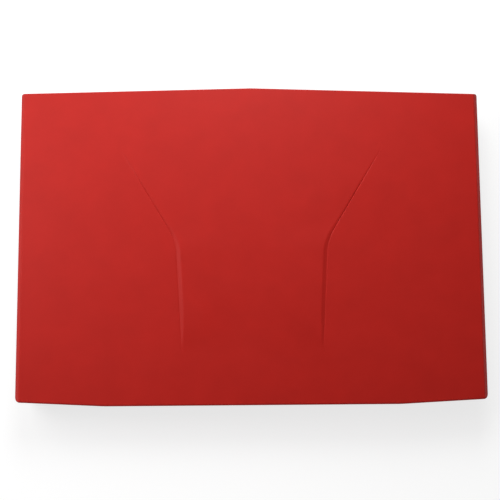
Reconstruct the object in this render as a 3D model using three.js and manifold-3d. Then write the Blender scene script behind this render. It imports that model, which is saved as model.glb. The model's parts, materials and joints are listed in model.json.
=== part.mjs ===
// A 17-inch clamshell laptop, closed, in millimetres.
// +X is the user's right, -Y the user's side, +Y the hinge side and +Z up.
// The origin is under the middle of the closed machine, on the surface it stands on.
import * as THREE from "three";
import { ConvexGeometry } from "three/addons/geometries/ConvexGeometry.js";
import { mergeVertices } from "three/addons/utils/BufferGeometryUtils.js";
import Module from "manifold-3d";

const wasm = await Module();
wasm.setup();

// ---- Driving dimensions ----

// Plan outline, the same for the lid and the base
const WIDTH = 410;
const DEPTH = 282;
const CHEVRON = 5.3; // the middle of the front edge stands this far ahead of its corners
const REAR_SETBACK = 3.9; // the rear corners lie this far ahead of the straight rear edge
const REAR_FLAT = 128; // half the length of the straight rear edge
const REAR_CORNER_RADIUS = 4.4;
const FRONT_CORNER_RADIUS = 1.5;

// Heights
const GAP = 0.3; // between two pieces that touch
const FOOT_TOP = 2.1;
const CASE_FLOOR = 2.4;
const CASE_KNEE = 9; // the base's sides slope in below this
const CASE_RIM = 22;
const DECK_UNDER = 25.8;
const DECK_TOP = 28.3;
const SHELF_TOP = 24.7; // the low shelf behind the deck that the lid's rear edge turns over
const LID_FACE = 29.3;
const LID_FIELD = 38.8; // the lid's flat field
const HOOD_TOP = 40; // the raised hood in the middle of the lid

// Walls
const LID_SKIN = 1.5;
const LID_WALL = 2;
const CASE_WALL = 2.2;

// Lid
const SIDE_BEVEL = 3.5;
const REAR_BEVEL = 1.5;
const FRONT_BEVEL = 0.8;
const BEZEL_THICKNESS = 1.6;
const SCREEN_WIDTH = 382;
const SCREEN_HEIGHT = 215;
const SCREEN_Y = -10.5;
const GLASS_LAP = 3; // the glass reaches this far behind the bezel all round
const GLASS_UNDER = LID_FACE + BEZEL_THICKNESS + GAP;
const GLASS_TOP = GLASS_UNDER + 0.7;
const PANEL = { halfWidth: 195.5, depth: 226, top: 36.8 };
const WEBCAM = { y: -129, hole: 3.2, lens: 2.8, boardHalfWidth: 32, boardHalfDepth: 3.5, boardTop: 35 };
const BUMPER = { x: 150, y: -127, width: 14, depth: 4, radius: 1.5, room: 0.2 };

// The hood's edge on each side, from the front: where it starts, where it bends and where it ends
const HOOD_EDGE = [
  [123.5, -100],
  [67, -4],
  [61.6, 96],
];
const HOOD_SLOPE = 2.5; // width of the sloping step along the hood's edge
const HOOD_RUN_FRONT = 50; // length over which the hood rises out of the field at the front
const HOOD_RUN_REAR = 40;

// Hinge
const HINGE_Y = DEPTH / 2 - 7;
const HINGE_Z = LID_FACE + 4.2;
const BARREL_RADIUS = 3.4;
const PIN_RADIUS = 1.5;
const PIN_CLEARANCE = 0.05;
const KNUCKLE = [142, 160]; // the base's half of the hinge along X
const ARM_BARREL = [160.5, 168]; // the lid's half
const HINGE_NOTCH = [138, 172];
const HINGE_NOTCH_DEPTH = 10; // ahead of the axis
// The arm's parts inside the lid: its root behind the barrel, a foot outward and a rail along the panel
const ARM = { rootFront: 118, foot: [107, 121], rail: [197, 201], railFront: 10, under: 32.2 };
const ARM_TOP = { root: 35.2, foot: 34, rail: 35.4 };
const BRACKET_FOOT = { ahead: 8.5, behind: 4, lift: 0.1, top: 1.5 };
const NECK = [-6.5, -1.5]; // the knuckle's neck stands ahead of the axis

// Keyboard
const UNIT = 19.05;
const KEY_GAP = 2.6;
const KEY_TOP = 28.4;
const KEY_UNDER = 25.4;
const WEB_UNDER = 24.2;
const WEB_DEPTH = 9;
const FUNCTION_ROW_DEPTH = 0.75 * UNIT;
const MAIN_UNITS = 15;
const PAD_UNITS = 4;
const BLOCK_GAP = 0.25 * UNIT;
const KEYBOARD_WIDTH = (MAIN_UNITS + PAD_UNITS) * UNIT + BLOCK_GAP;
const KEYBOARD_DEPTH = 5 * UNIT + FUNCTION_ROW_DEPTH;
const KEYBOARD_LEFT = -KEYBOARD_WIDTH / 2;
const KEYBOARD_FRONT = -20;
const WELL_MARGIN = 1.6;
const KEY_PLATE = { side: 4, front: 4, rear: 3, z: [20.2, 21.7] };

// Touchpad, in front of the space bar
const TOUCHPAD_X = -40;
const TOUCHPAD = { width: 100, front: -104, rear: -48, thickness: 1.6, top: 27.8 };
const PAD_BUTTON = { front: -121, rear: -105, under: 24.6, top: 27.9 };
const PAD_WELL_MARGIN = 0.6;

// Speakers, fans and vents, one on each side
const SPEAKER_X = 118;
const GRILLE = { width: 92, depth: 12, y: 107.5, slots: 15, slotWidth: 2.2, slotDepth: 8.5 };
const FAN = { x: 130, y: 66, size: 78, bore: 33, intake: 20, outlet: 30, wall: 1.2, floor: 4.9, top: 16.5 };
const ROTOR = { radius: 30, hub: 12, blades: 11, blade: 1.2, floor: 7, top: 15.5 };
const VENT = { slots: 9, pitch: 7, width: 2.4, length: 52 };
const SPEAKER = { halfWidth: 42, y: [98, 119], z: [20.8, 25.4] };
const VENT_WALL = { width: 2.8, z: [8.5, 17.5] }; // the exhaust slots in the rear wall

const POWER_BUTTON = { y: 107.5, radius: 8, under: 25, top: 28.6 };

// Underside
const ACCESS = { x: 0, y: 36, width: 150, depth: 110, radius: 4, room: 0.4, thickness: 1.8 };
const FOOT = { x: 140, front: -112, rear: 122, width: 46, depth: 9, radius: 4 };

// Sockets in the side walls: the shell's outer size, and the mouth that is cut into it
const PORT_MOUTH = 201.8;
const PORT_DEPTH = 14;
const PORT_Z = 15.3;
const SOCKET_PANELS = { left: { front: 12, rear: 116 }, right: { front: -24, rear: 36 } };
const PORTS = [
  { name: "power_jack", side: -1, y: 104, z: PORT_Z, width: 12, height: 10, mouth: [6.4, 6.4] },
  { name: "ethernet_port", side: -1, y: 78, z: PORT_Z, width: 15.6, height: 10.6, mouth: [12, 8.2] },
  { name: "hdmi_port", side: -1, y: 50, z: PORT_Z, width: 15.2, height: 6, mouth: [14.2, 4.8] },
  { name: "usb_port_left", side: -1, y: 24, z: PORT_Z, width: 13.4, height: 6, mouth: [12.2, 4.8] },
  { name: "usb_port_right", side: 1, y: 24, z: PORT_Z, width: 13.4, height: 6, mouth: [12.2, 4.8] },
  { name: "audio_jack", side: 1, y: -14, z: PORT_Z, width: 8, height: 7, mouth: [3.6, 3.6] },
];

// Inside the base: spans along X, Y and Z
const INSIDE = {
  motherboard: [[-86, 86], [-36, 132], [7, 8.6]],
  memory: [[-72, -4], [-20, 12], [8.9, 12.7]],
  wifi: [[20, 50], [-20, 4], [8.9, 11.3]],
  drive: [[110, 180], [-112, -12], [6, 15.5]],
  battery: [[-150, 96], [-118, -42], [5, 19.5]],
};
const FIN_STACK = { halfWidth: 32, gap: 2, rear: 124, z: [6, 18] };
const FIN_SLOT = { count: 12, pitch: 5, width: 3.2, z: [7, 15] };
const PIPE = { halfWidth: 4, halfHeight: 0.9, z: 19.3, steps: 36 };
const PIPE_ROUTE = [
  [-150, 115.5],
  [-96, 115.5],
  [-60, 90],
  [0, 74],
  [60, 90],
  [96, 115.5],
  [150, 115.5],
];

// ---- Solids ----

// A three.js geometry as a manifold solid.
function solid(geometry) {
  const bare = geometry.clone();
  bare.deleteAttribute("normal");
  bare.deleteAttribute("uv");
  const merged = mergeVertices(bare, 1e-4);
  return new wasm.Manifold(
    new wasm.Mesh({
      numProp: 3,
      vertProperties: new Float32Array(merged.attributes.position.array),
      triVerts: new Uint32Array(merged.index.array),
    }),
  );
}

// A manifold solid as a geometry with flat faces.
function geometryOf(manifold) {
  const mesh = manifold.getMesh();
  const geometry = new THREE.BufferGeometry();
  geometry.setAttribute("position", new THREE.BufferAttribute(mesh.vertProperties, 3));
  geometry.setIndex(new THREE.BufferAttribute(mesh.triVerts, 1));
  const flat = geometry.toNonIndexed();
  flat.computeVertexNormals();
  return flat;
}

// A block between two values on each axis, given in either order.
function block(x, y, z) {
  const size = [x, y, z].map(([a, b]) => Math.abs(b - a));
  const middle = [x, y, z].map(([a, b]) => (a + b) / 2);
  return solid(new THREE.BoxGeometry(...size).translate(...middle));
}

// A cylinder along X or Z from one value to another.
function rod(axis, radius, span, [a, b], sides = 16) {
  const geometry = new THREE.CylinderGeometry(radius, radius, Math.abs(span[1] - span[0]), sides);
  const middle = (span[0] + span[1]) / 2;
  if (axis === "z") geometry.rotateX(Math.PI / 2).translate(a, b, middle);
  else geometry.rotateZ(Math.PI / 2).translate(middle, a, b);
  return solid(geometry);
}

// The convex solid around rings of points.
function hull(...rings) {
  return solid(new ConvexGeometry(rings.flat()));
}

function join(...pieces) {
  return pieces.reduce((all, piece) => all.add(piece));
}

function cut(body, ...tools) {
  return tools.reduce((rest, tool) => rest.subtract(tool), body);
}

// Plan corners with each one rounded by its own radius.
function rounded(corners, radii, steps = 3) {
  return corners.flatMap(([x, y], i) => {
    const corner = new THREE.Vector2(x, y);
    if (!radii[i]) return [corner];
    const reach = (other) => {
      const way = new THREE.Vector2(other[0], other[1]).sub(corner).setLength(radii[i]);
      return way.add(corner);
    };
    const start = reach(corners.at(i - 1));
    const end = reach(corners[(i + 1) % corners.length]);
    return new THREE.QuadraticBezierCurve(start, corner, end).getPoints(steps);
  });
}

// The machine's plan outline at one height, drawn in at the sides, front and rear.
function outline(z, side, front = side, rear = side) {
  const x = WIDTH / 2 - side;
  const yFront = -DEPTH / 2 + front;
  const yRear = DEPTH / 2 - rear;
  const corners = [
    [-x, yFront + CHEVRON, FRONT_CORNER_RADIUS],
    [0, yFront, 0],
    [x, yFront + CHEVRON, FRONT_CORNER_RADIUS],
    [x, yRear - REAR_SETBACK, REAR_CORNER_RADIUS],
    [REAR_FLAT, yRear, 0],
    [-REAR_FLAT, yRear, 0],
    [-x, yRear - REAR_SETBACK, REAR_CORNER_RADIUS],
  ];
  const points = rounded(corners, corners.map(([, , radius]) => radius));
  return points.map((point) => new THREE.Vector3(point.x, point.y, z));
}

// A round-cornered plate centred on a point.
function plate(width, depth, radius, [x, y], [z0, z1]) {
  const corners = [
    [x - width / 2, y - depth / 2],
    [x + width / 2, y - depth / 2],
    [x + width / 2, y + depth / 2],
    [x - width / 2, y + depth / 2],
  ];
  const shape = new THREE.Shape(rounded(corners, corners.map(() => radius)));
  const geometry = new THREE.ExtrudeGeometry(shape, { depth: z1 - z0, bevelEnabled: false });
  return solid(geometry.translate(0, 0, z0));
}

// ---- Materials ----

function material(color, roughness, metalness = 0) {
  return new THREE.MeshStandardMaterial({ color, roughness, metalness });
}

const lacquer = material(0xb42a22, 0.4, 0.1);
const darkPlastic = material(0x1b1c1f, 0.6);
const keyPlastic = material(0x101114, 0.5);
const rubber = material(0x15151a, 0.9);
const steel = material(0x8b8e93, 0.35, 1);
const aluminium = material(0xa9adb2, 0.4, 1);
const copper = material(0xb87345, 0.35, 1);
const glass = material(0x07080a, 0.1);
const boardGreen = material(0x14502c, 0.6);
const cell = material(0x24262b, 0.7);

const laptop = new THREE.Group();
const lid = new THREE.Group();
const base = new THREE.Group();
laptop.add(lid, base);

function add(parent, name, finish, manifold) {
  const mesh = new THREE.Mesh(geometryOf(manifold), finish);
  mesh.name = name;
  parent.add(mesh);
}

const SIDES = [
  ["left", -1],
  ["right", 1],
];

// The stretch of a span on one side of the machine.
function onSide(side, [a, b]) {
  return [side * a, side * b];
}

// ---- Lid ----

// The raised hood: a low pad whose edges slope, and which runs out into the field at both ends.
function hood() {
  const [start, bend, end] = HOOD_EDGE;
  const rise = (start[1] - bend[1]) / (start[0] - bend[0]);
  const crestX = start[0] + HOOD_RUN_FRONT / rise - HOOD_SLOPE;
  const level = (z, points) => points.flatMap(([x, y]) => [-x, x].map((px) => new THREE.Vector3(px, y, z)));
  const sunk = LID_FIELD - LID_SKIN / 2;
  const waist = [bend[0] - HOOD_SLOPE, bend[1]];
  const frontFoot = level(LID_FIELD, [start, bend]);
  const frontCrest = level(HOOD_TOP, [[crestX, start[1] + HOOD_RUN_FRONT], waist]);
  const rearFoot = level(LID_FIELD, [bend, end]);
  const rearCrest = level(HOOD_TOP, [waist, [end[0] - HOOD_SLOPE, end[1] - HOOD_RUN_REAR]]);
  return join(
    hull(frontFoot, frontCrest, level(sunk, [start, bend])),
    hull(rearFoot, rearCrest, level(sunk, [bend, end])),
  );
}

// The room that each hinge needs through the lid's rear wall and bezel.
function hingeNotch(side, zTop) {
  const spanY = [HINGE_Y - HINGE_NOTCH_DEPTH, DEPTH / 2 + 1];
  return block(onSide(side, HINGE_NOTCH), spanY, [LID_FACE - 1, zTop]);
}

function lidCover() {
  const skinUnder = LID_FIELD - LID_SKIN;
  const outside = hull(
    outline(LID_FACE, 0),
    outline(LID_FIELD - SIDE_BEVEL, 0),
    outline(LID_FIELD - REAR_BEVEL, SIDE_BEVEL - REAR_BEVEL, 0, 0),
    outline(LID_FIELD, SIDE_BEVEL, FRONT_BEVEL, REAR_BEVEL),
  );
  const inside = hull(
    outline(LID_FACE - 1, LID_WALL),
    outline(LID_FIELD - SIDE_BEVEL - 1, LID_WALL),
    outline(skinUnder, SIDE_BEVEL + 1, LID_WALL + 0.5, LID_WALL + 0.5),
  );
  const notches = SIDES.map(([, side]) => hingeNotch(side, skinUnder));
  return cut(join(outside, hood()), inside, ...notches);
}

function displayBezel() {
  const top = LID_FACE + BEZEL_THICKNESS;
  const inset = LID_WALL + GAP;
  const sheet = hull(outline(LID_FACE, inset), outline(top, inset));
  const window = plate(SCREEN_WIDTH, SCREEN_HEIGHT, 2, [0, SCREEN_Y], [LID_FACE - 1, top + 1]);
  const cameraHole = rod("z", WEBCAM.hole, [LID_FACE - 1, top + 1], [0, WEBCAM.y]);
  const notches = SIDES.map(([, side]) => hingeNotch(side, top + 1));
  return cut(sheet, window, cameraHole, ...notches);
}

// The steel arm carries the lid on the hinge and runs up beside the panel.
function hingeArm(side) {
  const barrel = rod("x", BARREL_RADIUS, onSide(side, ARM_BARREL), [HINGE_Y, HINGE_Z]);
  const root = block(onSide(side, ARM_BARREL), [ARM.rootFront, HINGE_Y], [ARM.under, ARM_TOP.root]);
  const foot = block(onSide(side, [ARM_BARREL[0], ARM.rail[1]]), ARM.foot, [ARM.under, ARM_TOP.foot]);
  const rail = block(onSide(side, ARM.rail), [ARM.railFront, ARM.foot[1]], [ARM.under, ARM_TOP.rail]);
  const bore = rod("x", PIN_RADIUS + PIN_CLEARANCE, onSide(side, [ARM_BARREL[0] - 1, ARM_BARREL[1] + 1]), [
    HINGE_Y,
    HINGE_Z,
  ]);
  return cut(join(barrel, root, foot, rail), bore);
}

function buildLid() {
  add(lid, "lid_cover", lacquer, lidCover());
  add(lid, "display_bezel", darkPlastic, displayBezel());
  const glassSize = [SCREEN_WIDTH + 2 * GLASS_LAP, SCREEN_HEIGHT + 2 * GLASS_LAP, 2.5];
  add(lid, "display_glass", glass, plate(...glassSize, [0, SCREEN_Y], [GLASS_UNDER, GLASS_TOP]));
  const panelY = [SCREEN_Y - PANEL.depth / 2, SCREEN_Y + PANEL.depth / 2];
  const panel = block([-PANEL.halfWidth, PANEL.halfWidth], panelY, [GLASS_TOP + GAP, PANEL.top]);
  add(lid, "lcd_panel", aluminium, panel);
  const boardX = [-WEBCAM.boardHalfWidth, WEBCAM.boardHalfWidth];
  const boardY = [WEBCAM.y - WEBCAM.boardHalfDepth, WEBCAM.y + WEBCAM.boardHalfDepth];
  add(lid, "webcam_module", boardGreen, block(boardX, boardY, [GLASS_UNDER, WEBCAM.boardTop]));
  const lensZ = [LID_FACE + 0.2, GLASS_UNDER - GAP];
  add(lid, "webcam_lens", glass, rod("z", WEBCAM.lens, lensZ, [0, WEBCAM.y]));
  for (const [name, side] of SIDES) {
    const bumperZ = [DECK_TOP + BUMPER.room, LID_FACE - BUMPER.room];
    const bumperAt = [side * BUMPER.x, BUMPER.y];
    add(lid, `hinge_arm_${name}`, steel, hingeArm(side));
    const bumper = plate(BUMPER.width, BUMPER.depth, BUMPER.radius, bumperAt, bumperZ);
    add(lid, `lid_bumper_${name}`, rubber, bumper);
    const pinX = onSide(side, [KNUCKLE[0] - 0.5, ARM_BARREL[1] + 0.5]);
    add(lid, `hinge_pin_${name}`, steel, rod("x", PIN_RADIUS, pinX, [HINGE_Y, HINGE_Z]));
  }
}

// ---- Base casings ----

// Outer surface of the base at three heights: it tapers in towards the floor.
function caseBody(offset, floor, rim) {
  return hull(
    outline(floor, 13 + offset, 14 + offset, 8 + offset),
    outline(CASE_KNEE, 3.6 + offset, 4.6 + offset, 2.8 + offset),
    outline(rim, 1.2 + offset, 1.2 + offset, 1.6 + offset),
  );
}

function ventSlots([x, y], z, alongX) {
  return Array.from({ length: VENT.slots }, (_, i) => {
    const shift = (i - (VENT.slots - 1) / 2) * VENT.pitch;
    if (alongX) return block([x + shift - VENT_WALL.width / 2, x + shift + VENT_WALL.width / 2], y, z);
    const spanY = [y + shift - VENT.width / 2, y + shift + VENT.width / 2];
    return block([x - VENT.length / 2, x + VENT.length / 2], spanY, z);
  });
}

function bottomCase() {
  const shell = cut(caseBody(0, CASE_FLOOR, CASE_RIM), caseBody(CASE_WALL, CASE_FLOOR + 2, CASE_RIM + 1));
  const floorCut = [CASE_FLOOR - 1, CASE_FLOOR + 3];
  const access = plate(ACCESS.width, ACCESS.depth, ACCESS.radius, [ACCESS.x, ACCESS.y], floorCut);
  const intakes = SIDES.flatMap(([, side]) => ventSlots([side * FAN.x, FAN.y], floorCut, false));
  const rearWall = [DEPTH / 2 - 12, DEPTH / 2 + 1];
  const exhausts = SIDES.flatMap(([, side]) => ventSlots([side * FAN.x, rearWall], VENT_WALL.z, true));
  const panels = SIDES.map(([, side]) => panelRoom(side, GAP));
  return cut(shell, access, ...intakes, ...exhausts, ...panels);
}

// The stretch of side wall that holds the sockets, with room around it if asked.
function panelRoom(side, room) {
  const { front, rear } = side < 0 ? SOCKET_PANELS.left : SOCKET_PANELS.right;
  const spanZ = [CASE_KNEE + 2 * GAP - room, CASE_RIM + 1];
  return block(onSide(side, [WIDTH / 2 - 9, WIDTH / 2 + 1]), [front - room, rear + room], spanZ);
}

// A separate strip of side wall with a hole for each socket.
function socketPanel(side) {
  const wall = cut(caseBody(0, CASE_FLOOR, CASE_RIM), caseBody(CASE_WALL, CASE_FLOOR + 2, CASE_RIM + 1));
  const holes = PORTS.filter((spec) => spec.side === side).map(({ y, z, width, height }) => {
    const spanY = [y - width / 2 - GAP, y + width / 2 + GAP];
    const spanZ = [z - height / 2 - GAP, z + height / 2 + GAP];
    return block(onSide(side, [PORT_MOUTH - 6, WIDTH / 2 + 1]), spanY, spanZ);
  });
  return cut(wall.intersect(panelRoom(side, 0)), ...holes);
}

function port({ side, y, z, width, height, mouth }) {
  const spanX = onSide(side, [PORT_MOUTH - PORT_DEPTH, PORT_MOUTH]);
  const shell = block(spanX, [y - width / 2, y + width / 2], [z - height / 2, z + height / 2]);
  const depth = onSide(side, [PORT_MOUTH - PORT_DEPTH + 1, PORT_MOUTH + 1]);
  const [mouthWidth, mouthHeight] = mouth;
  const mouthY = [y - mouthWidth / 2, y + mouthWidth / 2];
  const hollow = block(depth, mouthY, [z - mouthHeight / 2, z + mouthHeight / 2]);
  return cut(shell, hollow);
}

// The top deck: palm rest, keyboard surround and, behind a step, the hinge shelf.
function palmRest() {
  const under = CASE_RIM + GAP;
  const body = hull(
    outline(under, 1.2, 1.2, 1.6),
    outline(DECK_TOP - 0.8, 1.2, 1.2, 1.6),
    outline(DECK_TOP, 2, 2, 1.6),
  );
  const stepY = HINGE_Y - 9.5;
  const step = block([-WIDTH, WIDTH], [stepY, DEPTH], [SHELF_TOP, DECK_TOP + 1]);
  const hollow = hull(outline(under - 1, 3.4, 3.4, 18.8), outline(DECK_UNDER, 3.4, 3.4, 18.8));
  const deck = [SHELF_TOP, DECK_TOP + 1];
  const keyWell = block(
    [KEYBOARD_LEFT - WELL_MARGIN, -KEYBOARD_LEFT + WELL_MARGIN],
    [KEYBOARD_FRONT - WELL_MARGIN, KEYBOARD_FRONT + KEYBOARD_DEPTH + WELL_MARGIN],
    deck,
  );
  const padX = [-1, 1].map((side) => TOUCHPAD_X + side * (TOUCHPAD.width / 2 + PAD_WELL_MARGIN));
  const padWell = block(padX, [PAD_BUTTON.front - PAD_WELL_MARGIN, TOUCHPAD.rear + PAD_WELL_MARGIN], deck);
  const powerHole = rod("z", POWER_BUTTON.radius + 0.4, deck, [0, POWER_BUTTON.y], 32);
  const grilleWells = SIDES.map(([, side]) =>
    plate(GRILLE.width + 0.8, GRILLE.depth + 0.8, 3, [side * SPEAKER_X, GRILLE.y], deck),
  );
  return cut(body, step, hollow, keyWell, padWell, powerHole, ...grilleWells);
}

function speakerGrille(side) {
  const x = side * SPEAKER_X;
  const sheet = plate(GRILLE.width, GRILLE.depth, 2.8, [x, GRILLE.y], [26.6, 27.9]);
  const pitch = (GRILLE.width - 6) / GRILLE.slots;
  const slots = Array.from({ length: GRILLE.slots }, (_, i) => {
    const middle = x + (i - (GRILLE.slots - 1) / 2) * pitch;
    const spanX = [middle - GRILLE.slotWidth / 2, middle + GRILLE.slotWidth / 2];
    return block(spanX, [GRILLE.y - GRILLE.slotDepth / 2, GRILLE.y + GRILLE.slotDepth / 2], [26, 28.5]);
  });
  return cut(sheet, ...slots);
}

// The base's half of the hinge: a foot on the shelf, a neck ahead of the axis and the knuckle.
function hingeBracket(side) {
  const spanX = onSide(side, KNUCKLE);
  const footY = [HINGE_Y - BRACKET_FOOT.ahead, HINGE_Y + BRACKET_FOOT.behind];
  const foot = block(spanX, footY, [SHELF_TOP + BRACKET_FOOT.lift, SHELF_TOP + BRACKET_FOOT.top]);
  const neckY = NECK.map((reach) => HINGE_Y + reach);
  const neck = block(spanX, neckY, [SHELF_TOP + BRACKET_FOOT.lift, HINGE_Z]);
  const knuckle = rod("x", BARREL_RADIUS, spanX, [HINGE_Y, HINGE_Z]);
  const boreX = onSide(side, [KNUCKLE[0] - 1, KNUCKLE[1] + 1]);
  const bore = rod("x", PIN_RADIUS + PIN_CLEARANCE, boreX, [HINGE_Y, HINGE_Z]);
  const clearLid = block(spanX, neckY, [LID_FIELD - LID_SKIN - GAP, HOOD_TOP]);
  return cut(join(foot, neck, knuckle), bore, clearLid);
}

function buildCasings() {
  add(base, "bottom_case", darkPlastic, bottomCase());
  add(base, "palm_rest", darkPlastic, palmRest());
  const coverSize = [ACCESS.width, ACCESS.depth].map((size) => size - 2 * ACCESS.room);
  const coverZ = [CASE_FLOOR, CASE_FLOOR + ACCESS.thickness];
  const cover = plate(...coverSize, ACCESS.radius - ACCESS.room, [ACCESS.x, ACCESS.y], coverZ);
  add(base, "access_cover", darkPlastic, cover);
  const footAt = (x, y) => plate(FOOT.width, FOOT.depth, FOOT.radius, [x, y], [0, FOOT_TOP]);
  for (const [name, side] of SIDES) {
    add(base, `socket_panel_${name}`, darkPlastic, socketPanel(side));
    add(base, `foot_front_${name}`, rubber, footAt(side * FOOT.x, FOOT.front));
    add(base, `foot_rear_${name}`, rubber, footAt(side * FOOT.x, FOOT.rear));
    add(base, `hinge_bracket_${name}`, steel, hingeBracket(side));
    add(base, `speaker_grille_${name}`, steel, speakerGrille(side));
  }
  for (const spec of PORTS) add(base, spec.name, steel, port(spec));
}

// ---- Keyboard and controls ----

// A key cap on the keyboard's grid: x and y in key units from the main block's front left corner.
function cap(x, y, width, depth, shiftX = 0) {
  const left = KEYBOARD_LEFT + x * UNIT + shiftX;
  const front = KEYBOARD_FRONT + y * UNIT;
  const half = KEY_GAP / 2;
  const spanX = [left + half, left + width * UNIT - half];
  return block(spanX, [front + half, front + depth * UNIT - half], [KEY_UNDER, KEY_TOP]);
}

// The strip under a row of caps that makes them one piece.
function web(x, y, width, depth, shiftX = 0) {
  const left = KEYBOARD_LEFT + x * UNIT + shiftX;
  const middle = KEYBOARD_FRONT + (y + depth / 2) * UNIT;
  const spanX = [left + KEY_GAP, left + width * UNIT - KEY_GAP];
  return block(spanX, [middle - WEB_DEPTH / 2, middle + WEB_DEPTH / 2], [WEB_UNDER, KEY_UNDER + 0.1]);
}

// A row of caps of the given widths, side by side.
function keyRow(x, y, widths, depth = 1) {
  let at = x;
  const caps = widths.map((width) => {
    const made = cap(at, y, width, depth);
    at += width;
    return made;
  });
  return join(web(x, y, at - x, depth), ...caps);
}

const ones = (count) => Array(count).fill(1);

const KEY_ROWS = {
  function_keys: [0, 5, ones(15), 0.75],
  number_keys: [0, 4, [...ones(13), 2]],
  upper_letter_keys: [0, 3, [1.5, ...ones(12), 1.5]],
  home_letter_keys: [0, 2, [1.75, ...ones(11), 2.25]],
  lower_letter_keys: [0, 1, [1.75, ...ones(10), 1.25]],
  modifier_keys_left: [0, 0, [1.25, 1, 1, 1.25]],
  space_bar: [4.5, 0, [5.5]],
  modifier_keys_right: [10, 0, [1, 1]],
};

// Up, and the end key beside it, over left, down and right.
function arrowKeys() {
  const lower = keyRow(12, 0, ones(3));
  const upper = keyRow(13, 1, ones(2));
  const spine = block(
    [KEYBOARD_LEFT + 13.3 * UNIT, KEYBOARD_LEFT + 13.7 * UNIT],
    [KEYBOARD_FRONT + 0.5 * UNIT, KEYBOARD_FRONT + 1.5 * UNIT],
    [WEB_UNDER, KEY_UNDER + 0.1],
  );
  return join(lower, upper, spine);
}

// The number pad: [x, y, width, depth] of each cap, in key units from its front left corner.
const PAD_CAPS = [
  ...[0, 1, 2, 3].map((x) => [x, 5, 1, 0.75]),
  ...[0, 1, 2, 3].map((x) => [x, 4, 1, 1]),
  ...[1, 2, 3].flatMap((y) => [0, 1, 2].map((x) => [x, y, 1, 1])),
  [3, 2, 1, 2],
  [3, 0, 1, 2],
  [0, 0, 2, 1],
  [2, 0, 1, 1],
];

function numberPad() {
  const shift = BLOCK_GAP;
  const caps = PAD_CAPS.map(([x, y, width, depth]) => cap(MAIN_UNITS + x, y, width, depth, shift));
  const rows = [0, 1, 2, 3, 4].map((y) => web(MAIN_UNITS, y, PAD_UNITS, 1, shift));
  const top = web(MAIN_UNITS, 5, PAD_UNITS, 0.75, shift);
  const spineX = KEYBOARD_LEFT + BLOCK_GAP + (MAIN_UNITS + 1.5) * UNIT;
  const spineY = [KEYBOARD_FRONT + 0.5 * UNIT, KEYBOARD_FRONT + 5.3 * UNIT];
  const spine = block([spineX - 4, spineX + 4], spineY, [WEB_UNDER, KEY_UNDER + 0.1]);
  return join(top, ...rows, spine, ...caps);
}

function buildControls() {
  const plateX = [KEYBOARD_LEFT - KEY_PLATE.side, -KEYBOARD_LEFT + KEY_PLATE.side];
  const plateY = [KEYBOARD_FRONT - KEY_PLATE.front, KEYBOARD_FRONT + KEYBOARD_DEPTH + KEY_PLATE.rear];
  add(base, "keyboard_plate", aluminium, block(plateX, plateY, KEY_PLATE.z));
  for (const [name, spec] of Object.entries(KEY_ROWS)) add(base, name, keyPlastic, keyRow(...spec));
  add(base, "arrow_keys", keyPlastic, arrowKeys());
  add(base, "number_pad_keys", keyPlastic, numberPad());

  const padMiddle = (TOUCHPAD.front + TOUCHPAD.rear) / 2;
  const padDepth = TOUCHPAD.rear - TOUCHPAD.front;
  const padZ = [TOUCHPAD.top - TOUCHPAD.thickness, TOUCHPAD.top];
  add(base, "touchpad", darkPlastic, plate(TOUCHPAD.width, padDepth, 2, [TOUCHPAD_X, padMiddle], padZ));
  for (const [name, side] of SIDES) {
    const spanX = onSide(side, [0.4, TOUCHPAD.width / 2]).map((x) => TOUCHPAD_X + x);
    const button = block(spanX, [PAD_BUTTON.front, PAD_BUTTON.rear], [PAD_BUTTON.under, PAD_BUTTON.top]);
    add(base, `touchpad_button_${name}`, keyPlastic, button);
  }
  const powerZ = [POWER_BUTTON.under, POWER_BUTTON.top];
  add(base, "power_button", aluminium, rod("z", POWER_BUTTON.radius, powerZ, [0, POWER_BUTTON.y], 32));
}

// ---- Inside the base ----

function fanHousing(side) {
  const [x, y] = [side * FAN.x, FAN.y];
  const half = FAN.size / 2;
  const body = block([x - half, x + half], [y - half, y + half], [FAN.floor, FAN.top]);
  const bore = rod("z", FAN.bore, [FAN.floor + FAN.wall, FAN.top + 1], [x, y], 40);
  const intake = rod("z", FAN.intake, [FAN.floor - 1, FAN.top], [x, y], 32);
  const outletZ = [FAN.floor + FAN.wall, FAN.top - FAN.wall];
  const outlet = block([x - FAN.outlet, x + FAN.outlet], [y, y + half + 1], outletZ);
  const hubArm = block([x - FAN.intake - 1, x + FAN.intake + 1], [y - 2, y + 2], [FAN.floor, FAN.floor + 1]);
  return join(cut(body, bore, intake, outlet), hubArm);
}

function fanRotor(side) {
  const [x, y] = [side * FAN.x, FAN.y];
  const spanZ = [ROTOR.floor, ROTOR.top];
  const hub = rod("z", ROTOR.hub, spanZ, [x, y], 24);
  const blades = Array.from({ length: ROTOR.blades }, (_, i) => {
    const height = ROTOR.top - ROTOR.floor - 1;
    const blade = new THREE.BoxGeometry(ROTOR.radius - ROTOR.hub + 2, ROTOR.blade, height);
    blade.translate((ROTOR.radius + ROTOR.hub) / 2 - 1, 0, (ROTOR.floor + ROTOR.top) / 2);
    blade.rotateZ((i * 2 * Math.PI) / ROTOR.blades).translate(x, y, 0);
    return solid(blade);
  });
  return join(hub, ...blades);
}

function finStack(side) {
  const x = side * FAN.x;
  const spanX = [x - FIN_STACK.halfWidth, x + FIN_STACK.halfWidth];
  const stack = block(spanX, [FAN.y + FAN.size / 2 + FIN_STACK.gap, FIN_STACK.rear], FIN_STACK.z);
  const slots = Array.from({ length: FIN_SLOT.count }, (_, i) => {
    const middle = x + (i - (FIN_SLOT.count - 1) / 2) * FIN_SLOT.pitch;
    const slotX = [middle - FIN_SLOT.width / 2, middle + FIN_SLOT.width / 2];
    return block(slotX, [FAN.y, FIN_STACK.rear + 1], FIN_SLOT.z);
  });
  return cut(stack, ...slots);
}

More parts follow.
